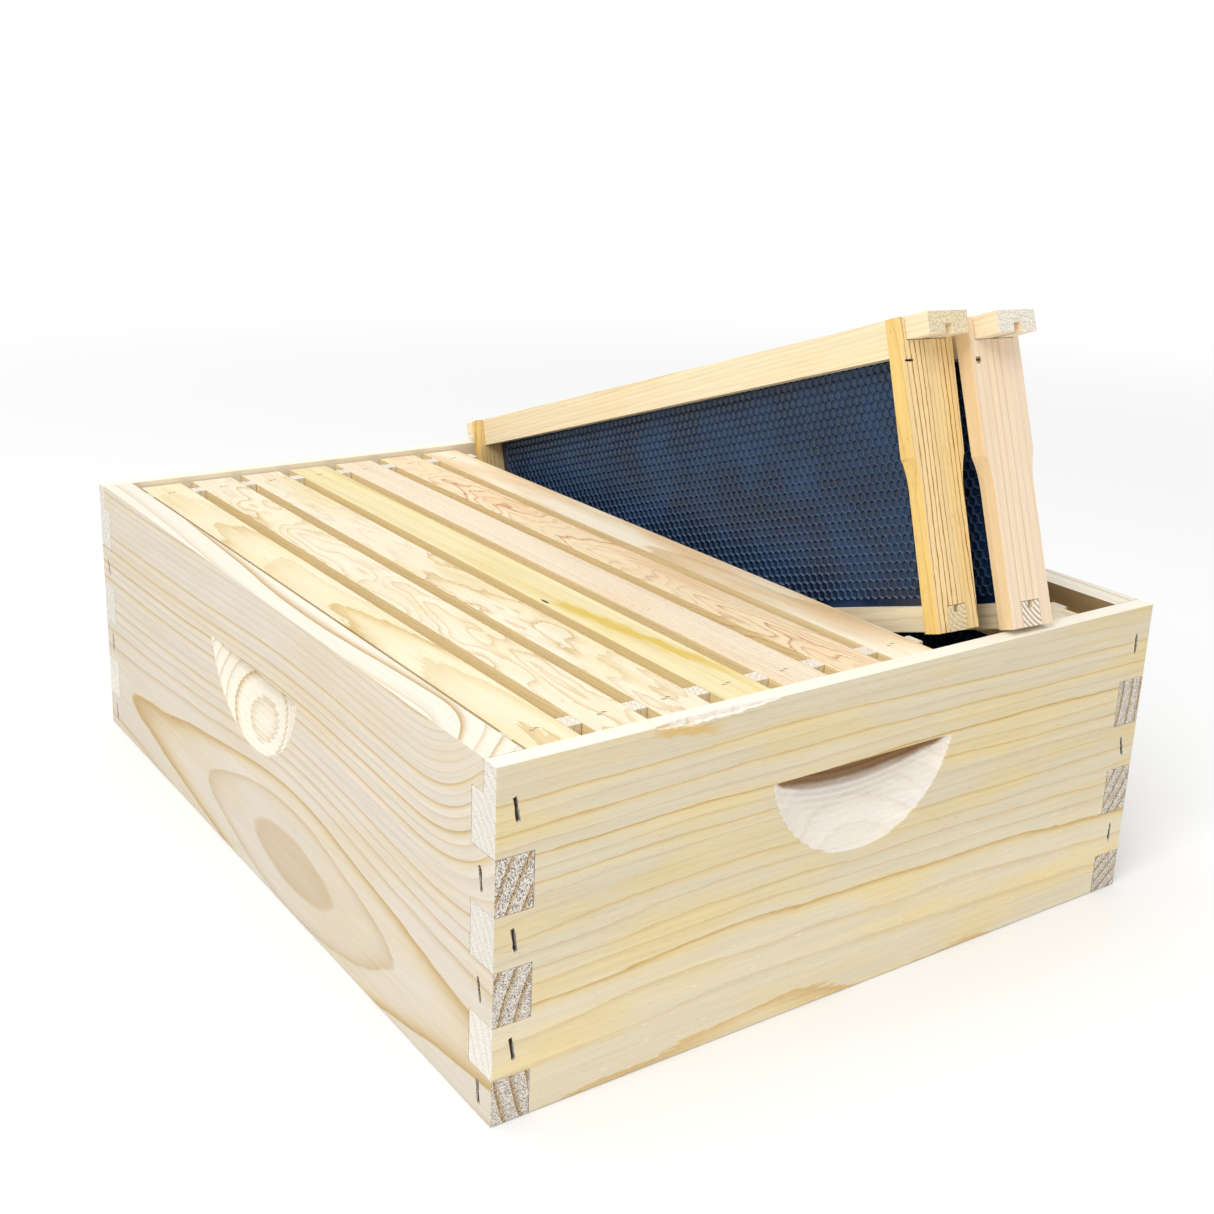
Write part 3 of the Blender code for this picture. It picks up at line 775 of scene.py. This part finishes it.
def end_board_finish(graph, place, colour):
    """Painted golden shade in the rabbet, a painted highlight on the top edge, a painted brown shadow under
    the handhold's lip, and flecks and a paler tone low down.
    """
    _, across, depth = graph.parts(place)
    # Painted shade: a golden tint in the rabbet, where light bounces about in the pockets between the lugs.
    rabbet_painted_shade = graph.times(graph.ramp(depth, -9.2, -9.6), graph.ramp(across, 151.5, 153.5), 0.8)
    colour = graph.mix(rabbet_painted_shade, colour, linear(240, 226, 196))
    # Painted highlight: the top edge is paler, as where the light from above falls on it.
    top = graph.times(graph.ramp(across, 168.0, 168.2), graph.ramp(depth, -9.9, -9.4), 0.55)
    colour = graph.mix(top, colour, linear(250, 243, 224))
    # Painted shadow, in brown, under the handhold's lip.
    lip_shadow = graph.times(lip_painted_shadow(graph, place, BOX_SIZE.x / MM), 0.95)
    colour = graph.mix(lip_shadow, colour, LIP_SHADOW_COLOUR)
    flecks = graph.ramp(graph.stretched(place, 7, 2.2, detail=1.0), 0.70, 0.76)
    flecks = graph.times(flecks, graph.ramp(across, 20, 100, 0.42, 0.0))
    colour = graph.mix(flecks, colour, linear(240, 232, 214))
    return graph.shade(colour, graph.ramp(across, 20, 90, 1.12, 1.0))


def front_board_finish(graph, place, colour):
    """As other end boards, with a golden streak of torn grain under the left of the rim."""
    colour = end_board_finish(graph, place, colour)
    along, across, _ = graph.parts(place)
    ragged = graph.times(graph.uneven(place, 6, 1.6, detail=3.0), 7.0)
    run = graph.minus(along, 97.0)
    off = graph.plus(graph.times(run, 0.14), graph.minus(across, 163.0), ragged)
    thick = graph.ramp(graph.size(off), 1.0, 3.2, 1.0, 0.0)
    long = graph.ramp(graph.size(run), 9.0, 24.0, 0.8, 0.0)
    return graph.mix(graph.times(thick, long), colour, linear(216, 178, 104))


def side_board_finish(graph, place, colour):
    """A faint painted shadow under the lip of the handhold."""
    lip_shadow = graph.times(lip_painted_shadow(graph, place, BOX_SIZE.y / MM), 0.25)
    return graph.mix(lip_shadow, colour, SIDE_LIP_SHADOW_COLOUR)


def build_box(metal):
    scoop = scoop_mesh()
    for side, look in BOARD_LOOKS.items():
        place = face_matrix(side)
        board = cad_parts[f"{side}_board"]
        spot = Matrix.Translation((face_width(side) / 2, SCOOP_CENTRE_Z, 0))
        handhold = add_cutter(f"{side}_scoop", scoop, "box", place @ spot)
        cutters = [handhold, build_corner_staples(side, place, metal)]
        if side == "front":
            cutters.append(add_cutter("torn_edge", torn_edge_mesh(), "box", place))
        refine(board, *cutters, arris=BOARD_ARRIS)
        own = {"Thickness": BOARD / MM, "Fresh share": 0.75, **look}
        finish = {"front": front_board_finish, "rear": end_board_finish}.get(side, side_board_finish)
        warp = side_warp(face_width(side) / MM) if side in ("left", "right") else None
        paint(board, pine(f"{side}_board_pine", place.inverted(), own, finish, warp))


# The frames.
def frame_matrix(number):
    """Places a frame's own directions in the world: x across it, y along it, z up."""
    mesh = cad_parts[f"frame_{number:02d}_top_bar"].data
    face = max(mesh.polygons, key=lambda polygon: polygon.area)
    corners = [mesh.vertices[index].co for index in face.vertices]
    sides = sorted(zip(corners, corners[1:] + corners[:1]), key=lambda pair: (pair[1] - pair[0]).length)
    along = (sides[1][1] - sides[1][0]).normalized()
    along = along if along.y > 0 else -along
    up = face.normal.copy()
    turn = Matrix((along.cross(up), along, up)).transposed().to_4x4()
    return Matrix.Translation((sides[2][0] + sides[2][1]) / 2) @ turn


def foundation_mesh(low, high):
    """A sheet between two corners of a frame's own space, with cells on both faces."""
    corner = CELL_PITCH / math.sqrt(3)
    row_pitch = corner * 1.5
    columns = int((high.y - low.y - 2 * CELL_MARGIN) / CELL_PITCH)
    rows = int((high.z - low.z - 2 * CELL_MARGIN) / row_pitch)
    middle = (low + high) / 2
    directions = [math.radians(30 + 60 * step) for step in range(HEXAGON)]
    work = bmesh.new()
    for side in (-1, 1):
        shared = {}

        def ridge(y, z):
            key = (round(y / WELD / 10), round(z / WELD / 10))
            if key not in shared:
                shared[key] = work.verts.new((side * CELL_RIDGE, y, z))
            return shared[key]

        for row in range(rows):
            z = middle.z + (row - (rows - 1) / 2) * row_pitch
            for column in range(columns - row % 2):
                y = middle.y + (column - (columns - 1 - row % 2) / 2) * CELL_PITCH
                rim = [ridge(y + corner * math.cos(a), z + corner * math.sin(a)) for a in directions]
                inner = corner - CELL_WALL
                floor = [(y + inner * math.cos(a), z + inner * math.sin(a)) for a in directions]
                floor = [work.verts.new((side * CELL_FLOOR, *spot)) for spot in floor]
                dip = work.verts.new((side * (CELL_FLOOR - CELL_DIP), y, z))
                for this in range(HEXAGON):
                    other = (this + 1) % HEXAGON
                    work.faces.new((rim[this], rim[other], floor[other], floor[this]))
                for this in range(0, HEXAGON, 2):
                    work.faces.new((dip, floor[this], floor[this + 1], floor[(this + 2) % HEXAGON]))
    outline = [edge for edge in work.edges if edge.is_boundary]
    made = bmesh.ops.extrude_edge_only(work, edges=outline)["geom"]
    for vertex in [item for item in made if isinstance(item, bmesh.types.BMVert)]:
        vertex.co.x = math.copysign(CELL_SKIRT, vertex.co.x)
    place = Matrix.Translation(middle) @ Matrix.Diagonal((*(high - low), 1.0))
    bmesh.ops.create_cube(work, size=1.0, matrix=place)
    bmesh.ops.recalc_face_normals(work, faces=work.faces)
    return mesh_from(work, "foundation")


def bar_staple_places(middles):
    """Short crossways dashes of wire where an end bar is stapled, near both ends of a bar."""
    places = []
    for end, middle in zip((-1, 1), middles):
        for half in (-1, 1):
            spot = Matrix.Translation((half * BAR_STAPLE_SPREAD, middle + half * BAR_STAPLE_STEP, 0))
            places.append(spot @ Matrix.Rotation(BAR_STAPLE_SLANT * end, 4, "Z"))
    return places


FRAME_SPACE = frame_matrix(1).inverted()
END_BAR_BOXES = [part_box(f"frame_01_{end}_end_bar") for end in ("front", "rear")]
END_BAR_MIDDLES = [(FRAME_SPACE @ ((low + high) / 2)).y for low, high in END_BAR_BOXES]
END_BAR_SIZE = END_BAR_BOXES[0][1] - END_BAR_BOXES[0][0]
FRAME_DEPTH = END_BAR_SIZE.z

ALONG_BAR = Matrix(((0, 1, 0, 0), (-1, 0, 0, 0), (0, 0, 1, 0), (0, 0, 0, 1)))
FRONT_POST = Matrix(((0, 0, 1, 0), (-1, 0, 0, 0), (0, -1, 0, 0), (0, 0, 0, 1)))
REAR_POST = Matrix(((0, 0, 1, 0), (1, 0, 0, 0), (0, 1, 0, 0), (0, 0, 0, 1)))

PALE = {"Early": linear(244, 232, 206), "Late": linear(210, 178, 124), "Warm": linear(238, 219, 172)}
YELLOW = {"Early": linear(243, 231, 198), "Late": linear(214, 184, 124), "Warm": linear(238, 219, 168)}
GOLDEN = {"Early": linear(240, 226, 180), "Late": linear(208, 172, 96), "Warm": linear(232, 210, 134)}
RED = {"Early": linear(246, 224, 188), "Late": linear(196, 138, 88), "Warm": linear(234, 194, 142)}
PINK = {"Early": linear(244, 228, 202), "Late": linear(208, 170, 130), "Warm": linear(240, 214, 178)}

BAR_LOOKS = {
    1: {**YELLOW, "Pith": (60.0, 4.0, 42.0), "Rise": 0.050, "Ring": 4.6, "Wander": 4.2, "Ragged": 0.30,
        "Line": 0.9, "Softness": 0.20, "Variety": 2.0},
    2: {**PALE, "Pith": (0.0, -6.0, 60.0), "Rise": 0.03, "Ring": 1.6, "Wander": 1.6, "Swirl": 9.0,
        "Line": 1.0, "Ragged": 0.3},
    3: {**PALE, "Pith": (0.0, 2.0, 60.0), "Rise": 0.02, "Ring": 2.4, "Wander": 4.2, "Swirl": 9.0,
        "Line": 1.0, "Ragged": 0.3, "Patches": 0.8},
    4: {**GOLDEN, "Pith": (0.0, 30.0, 80.0), "Rise": 0.01, "Ring": 4.0, "Wander": 1.6, "Line": 0.6},
    5: {**PINK, "Pith": (0.0, -70.0, 40.0), "Ring": 2.6, "Wander": 0.9, "Line": 0.9, "Softness": 0.6,
        "Dashes": 0.5},
    6: {**RED, "Pith": (0.0, 3.0, 34.0), "Rise": 0.085, "Ring": 1.9, "Wander": 2.6, "Line": 1.1,
        "Swirl": 9.0, "Softness": 0.5, "Ragged": 0.4},
    # Bar 7's early wood is painted paler: painted light in place of the shadow that the tipped frame casts
    # on it.
    7: {**PALE, "Early": linear(252, 240, 216), "Pith": (0.0, 10.0, 60.0), "Rise": 0.02, "Ring": 4.5,
        "Wander": 3.0, "Line": 0.6, "Patches": 0.9, "Warm": linear(240, 206, 160), "Ragged": 0.3},
    8: {**PALE, "Pith": (40.0, 0.0, 50.0), "Rise": 0.03, "Ring": 2.6, "Wander": 1.6, "Line": 0.9},
    9: {**PINK, "Pith": (0.0, 8.0, 60.0), "Rise": 0.02, "Ring": 3.0, "Wander": 1.0, "Line": 0.7},
    10: {**PALE, "Pith": (0.0, -9.0, 55.0), "Rise": 0.03, "Ring": 3.4, "Wander": 1.6, "Line": 0.7},
}
# The end bars of the two tipped frames, with painted warm shade on their sides.
POST_LOOKS = {
    8: {**GOLDEN, "Early": linear(244, 214, 158), "Late": linear(140, 90, 28), "Pith": (0.0, 66.0, 22.0),
        "Ring": 3.0, "Wander": 2.8, "Ragged": 0.36, "Line": 1.5, "Variety": 1.9, "Dashes": 0.30,
        "Softness": 0.64, "Edge": 0.92, "Lean": 0.03, "End": linear(226, 208, 166),
        "Warm": linear(238, 200, 122), "Side": linear(240, 202, 112), "Side shade share": 0.7},
    9: {**PINK, "Early": linear(244, 222, 194), "Pith": (0.0, -60.0, 30.0), "Ring": 4.4, "Wander": 0.9,
        "Line": 0.7, "Softness": 0.5, "Side": linear(242, 210, 152), "Side shade share": 0.6},
}
BAR_ENDS = {"End stripes": 0.22, "End speckle": 0.5, "Side shade share": 0.75}
BOTTOM_ENDS = {
    1: {"End stripes": 0.85, "End speckle": 0.3, "Ring": 1.7, "Pith": (0.0, 9.0, 5.0)},
    8: {"End stripes": 0.9, "End speckle": 0.5, "Ring": 2.6, "Pith": (0.0, -9.0, 148.0), "Ragged": 0.5,
        "Wander": 2.4},
    9: {"End stripes": 1.0, "End speckle": 0.2, "Ring": 2.5, "Pith": (0.0, -24.0, 135.0),
        "Late": linear(150, 104, 52)},
}
# The tipped frames' sides stand in the open, so they get less painted warm shade.
TIPPED_SIDE_SHADE = 0.3
TIPPED_ENDS = {8: linear(240, 224, 188), 9: linear(246, 238, 222)}


def post_look(number):
    pith = (0.0, 40.0 + 9.0 * (number % 4), 40.0)
    plain = {**PALE, "Pith": pith, "Ring": 2.2 + 0.3 * (number % 3), "Wander": 0.6, "Line": 0.5}
    return POST_LOOKS.get(number, plain)


def bar_pine(name, to_board, look, seed, finish=None):
    """Pine for a frame's piece, whose rings keep one width."""
    own = {**BAR_ENDS, **look, "Seed": float(seed), "Outer ring": look["Ring"]}
    return pine(name, to_board, own, finish)


def pitch_streak(graph, place, colour):
    """A dark pitch pocket in a golden bar, with amber streaks running from it to the front."""
    along, across, _ = graph.parts(place)
    ragged = graph.times(graph.uneven(place, 14, 2.5, detail=2.0), 9.0)
    run = graph.plus(along, 86.0)
    side = graph.plus(graph.times(run, -0.13), graph.minus(across, 6.0), ragged)
    toward_front = graph.times(graph.ramp(run, -8.0, 6.0, 1.0, 0.0), graph.ramp(run, -150.0, -90.0))
    streak = graph.times(graph.ramp(graph.size(side), 0.8, 6.5, 0.9, 0.0), toward_front)
    colour = graph.mix(streak, colour, linear(214, 184, 84))
    spot_run = graph.over(graph.plus(along, 82.0), 4.2)
    spot_side = graph.over(graph.minus(across, 10.5), 1.1)
    squares = graph.plus(graph.times(spot_run, spot_run), graph.times(spot_side, spot_side))
    spot = graph.ramp(graph.plus(squares, graph.times(ragged, 0.12)), 0.4, 1.3, 0.92, 0.0)
    return graph.mix(spot, colour, linear(70, 40, 20))


def end_staple_spots(reaches):
    """Where a staple pins each end bar to the top bar: x up the end bar, y across it, z outwards."""
    spots = []
    for reach, turn in zip(reaches, (0, 180)):
        about = Matrix.Rotation(math.radians(turn), 4, "Z")
        face = Matrix.Translation((END_STAPLE.x, -reach, END_STAPLE.y))
        spots.append(about @ face @ Matrix(((0, 1, 0, 0), (0, 0, -1, 0), (-1, 0, 0, 0), (0, 0, 0, 1))))
    return spots


def small_staples(dashes, slots):
    """A frame's wires, in its own space: in its top bar, its bottom bar and its end bars."""
    half = Vector((BAR_STAPLE_LENGTH / 2, 0, 0))
    sunk = Matrix.Translation((0, 0, -BAR_STAPLE_DEPTH))
    above = [[sunk @ place @ -half, sunk @ place @ half] for place in dashes]
    drop = Vector((0, 0, FRAME_DEPTH - 2 * BAR_STAPLE_DEPTH))
    under = [[point - drop for point in path] for path in above]
    crown = [Vector((0, side * END_STAPLE_LENGTH / 2, -END_STAPLE_DEPTH)) for side in (-1, 1)]
    pinned = [[spot @ point for point in crown] for spot in slots]
    return wire_mesh("bar_staples", above + under + pinned, SMALL_WIRE_RADIUS)


def build_frames(metal):
    low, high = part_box("frame_01_foundation")
    foundation = foundation_mesh(FRAME_SPACE @ low, FRAME_SPACE @ high)
    dark = plastic()
    dashes = bar_staple_places(END_BAR_MIDDLES)
    pits = boxes_mesh("bar_pits", dashes, BAR_PIT)
    reaches = [abs(middle) + END_BAR_SIZE.y / 2 for middle in END_BAR_MIDDLES]
    slots = end_staple_spots(reaches)
    wire = small_staples(dashes, slots)
    low_dashes = [Matrix.Translation((0, 0, -FRAME_DEPTH)) @ place for place in dashes]
    low_pits = boxes_mesh("low_pits", low_dashes, BAR_PIT)
    draw = random.Random(21)
    slot_meshes = [slots_mesh("end_pit", [spot], END_PIT, draw) for spot in slots]
    knot = slots_mesh("knot", slots[:1], KNOT, draw)
    for number in FRAMES:
        body = f"frame_{number:02d}"
        place = frame_matrix(number)
        home = place.inverted()
        sheet = add_object(f"{body}_cells", foundation)
        sheet.matrix_world = place
        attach(sheet, body)
        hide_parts(f"{body}_foundation")
        paint(sheet, dark)
        staples = add_object(f"{body}_staples", wire)
        staples.matrix_world = place
        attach(staples, body)
        paint(staples, metal)
        look = dict(BAR_LOOKS[number])
        look["End"] = TIPPED_ENDS.get(number, PINE["End"])
        look["Side shade share"] = TIPPED_SIDE_SHADE if number in TIPPED_ENDS else BAR_ENDS["Side shade share"]
        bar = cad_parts[f"{body}_top_bar"]
        refine(bar, add_cutter(f"{body}_pits", pits, body, place), arris=TOP_BAR_ARRIS)
        finish = pitch_streak if number == STREAKED else None
        paint(bar, bar_pine(f"{body}_bar_pine", ALONG_BAR @ home, look, 17 * number, finish))
        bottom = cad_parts[f"{body}_bottom_bar"]
        refine(bottom, add_cutter(f"{body}_low_pits", low_pits, body, place), arris=BOTTOM_BAR_ARRIS)
        low_look = {**look, **PALE, **BOTTOM_ENDS.get(number, BOTTOM_ENDS[1])}
        paint(bottom, bar_pine(f"{body}_bottom_pine", ALONG_BAR @ home, low_look, 17 * number + 5))
        for end, basis, reach in (("front", FRONT_POST, reaches[0]), ("rear", REAR_POST, reaches[1])):
            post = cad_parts[f"{body}_{end}_end_bar"]
            pit = knot if (number, end) == KNOTTED else slot_meshes[end == "rear"]
            refine(post, add_cutter(f"{body}_{end}_pit", pit, body, place), arris=END_BAR_ARRIS)
            to_board = Matrix.Translation((0, 0, -reach)) @ basis @ home
            seed = 17 * number + (3 if end == "front" else 11)
            paint(post, bar_pine(f"{body}_{end}_pine", to_board, post_look(number), seed))


def build_stage():
    """A plain pale floor under soft studio light."""
    middle = Matrix.Translation((0, 0, -FLOOR_DROP - FLOOR_THICKNESS / 2))
    floor = add_object("floor", boxes_mesh("floor", [middle], (FLOOR_WIDTH, FLOOR_WIDTH, FLOOR_THICKNESS)))
    made, graph, shader = new_material("floor_white")
    shader.inputs["Base Color"].default_value = (FLOOR_TONE, FLOOR_TONE, FLOOR_TONE, 1.0)
    shader.inputs["Roughness"].default_value = 0.9
    shader.inputs["Emission Color"].default_value = (1.0, 1.0, 1.0, 1.0)
    place = graph.node("ShaderNodeTexCoord").outputs["Object"]
    away = graph.node("ShaderNodeVectorMath", {0: place}, operation="LENGTH").outputs["Value"]
    glow = graph.ramp(away, FLOOR_NEAR, FLOOR_FAR, 0.0, FLOOR_GLOW)
    graph.give(shader.inputs["Emission Strength"], glow)
    paint(floor, made)
    world = bpy.data.worlds.new("studio")
    world.use_nodes = True
    background = world.node_tree.nodes["Background"]
    background.inputs["Color"].default_value = (1.0, 1.0, 1.0, 1.0)
    sky = Graph(world.node_tree)
    up = sky.parts(sky.node("ShaderNodeTexCoord").outputs["Generated"])[2]
    strength = sky.plus(sky.ramp(up, *WALL_LIGHT), sky.ramp(up, *OVERHEAD_LIGHT))
    sky.give(background.inputs["Strength"], strength)
    bpy.context.scene.world = world
    for name, (spot, size, power) in LIGHTS.items():
        light = bpy.data.lights.new(name, "AREA")
        light.shape = "SQUARE"
        light.size = size
        light.energy = power
        lamp = add_object(name, light)
        lamp.location = spot
        lamp.rotation_euler = (Vector(spot) - LIT_POINT).to_track_quat("Z", "Y").to_euler()


def build_camera():
    camera = add_object("camera", bpy.data.cameras.new("camera"))
    aim = Euler((math.radians(90 - CAMERA_DOWN), 0, math.radians(-CAMERA_AZIMUTH))).to_matrix()
    roll = Matrix.Rotation(math.radians(CAMERA_ROLL), 3, "Z")
    camera.location = CAMERA_PLACE
    camera.rotation_euler = (aim @ roll).to_euler()
    camera.data.lens = CAMERA_LENS
    camera.data.shift_x, camera.data.shift_y = CAMERA_SHIFT
    camera.data.clip_start = 0.02
    bpy.context.scene.camera = camera


build_camera()
build_stage()
STEEL = steel()
build_box(STEEL)
build_frames(STEEL)
bpy.context.scene.view_settings.view_transform = "Standard"
bpy.context.view_layer.update()
